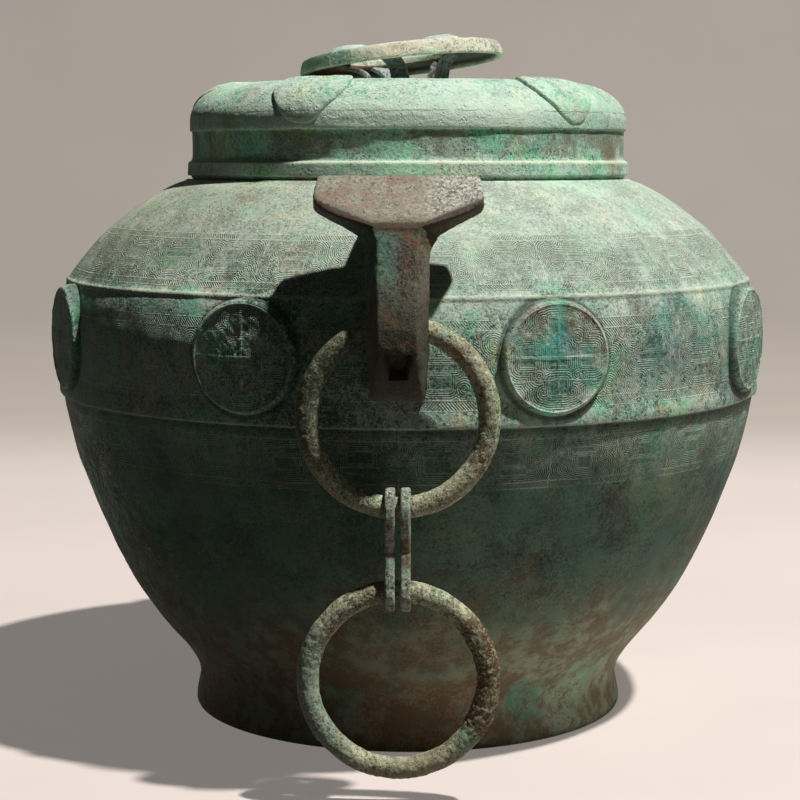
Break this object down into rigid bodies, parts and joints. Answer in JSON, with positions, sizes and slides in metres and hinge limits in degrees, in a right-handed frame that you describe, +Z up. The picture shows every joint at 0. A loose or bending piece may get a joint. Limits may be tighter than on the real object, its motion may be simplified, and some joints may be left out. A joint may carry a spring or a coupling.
{
  "type": "bronze fou jar",
  "caption": "Round-bellied bronze storage jar with a cap lid, ring-shaped lid grip, and two T-headed handles with hanging rings and links.",
  "frame": {"origin": "centre of the foot ring's underside, on the surface that the jar stands on", "axes": "+Z up along the jar's axis, -Y towards the front handle, +Y towards the back handle"},
  "size_m": [0.4802, 0.555, 0.4586],
  "materials": {
    "vessel_patina": "matt malachite and turquoise patina over cast bronze",
    "lid_patina": "matt pale green patina over cast bronze",
    "crown_patina": "chalky green and cream patina",
    "leg_patina": "grey blue patina",
    "handle_patina": "brown and grey patina with rust specks",
    "ring_patina": "olive green and brown patina with corrosion lumps",
    "link_patina": "grey green patina"
  },
  "bodies": {
    "jar": {"jar_body": "vessel_patina", "handle_front": "handle_patina", "handle_back": "handle_patina"},
    "lid": {"lid": "lid_patina", "lid_crown": "crown_patina", "crown_leg_1": "leg_patina", "crown_leg_2": "leg_patina", "crown_leg_3": "leg_patina", "crown_leg_4": "leg_patina", "crown_leg_5": "leg_patina"},
    "upper_ring_front": {"ring_upper_front": "ring_patina"},
    "links_front": {"link_left_front": "link_patina", "link_right_front": "link_patina"},
    "lower_ring_front": {"ring_lower_front": "ring_patina"},
    "upper_ring_back": {"ring_upper_back": "ring_patina"},
    "links_back": {"link_left_back": "link_patina", "link_right_back": "link_patina"},
    "lower_ring_back": {"ring_lower_back": "ring_patina"}
  },
  "joints": [
    {"name": "lid_lift", "type": "slide", "parent": "jar", "child": "lid", "axis": [0, 0, 1], "range_m": [0, 0.12]},
    {"name": "upper_ring_swing_front", "type": "hinge", "parent": "jar", "child": "upper_ring_front", "pos_m": [0, -0.253, 0.281], "axis": [-1, 0, 0], "range_deg": [-3, 110]},
    {"name": "links_swing_front", "type": "hinge", "parent": "upper_ring_front", "child": "links_front", "pos_m": [0, -0.253, 0.176], "axis": [-1, 0, 0], "range_deg": [-12, 75]},
    {"name": "lower_ring_swing_front", "type": "hinge", "parent": "links_front", "child": "lower_ring_front", "pos_m": [0, -0.253, 0.1275], "axis": [-1, 0, 0], "range_deg": [-15, 75]},
    {"name": "upper_ring_swing_back", "type": "hinge", "parent": "jar", "child": "upper_ring_back", "pos_m": [0, 0.253, 0.281], "axis": [1, 0, 0], "range_deg": [-3, 110]},
    {"name": "links_swing_back", "type": "hinge", "parent": "upper_ring_back", "child": "links_back", "pos_m": [0, 0.253, 0.176], "axis": [1, 0, 0], "range_deg": [-12, 75]},
    {"name": "lower_ring_swing_back", "type": "hinge", "parent": "links_back", "child": "lower_ring_back", "pos_m": [0, 0.253, 0.1275], "axis": [1, 0, 0], "range_deg": [-15, 75]}
  ]
}
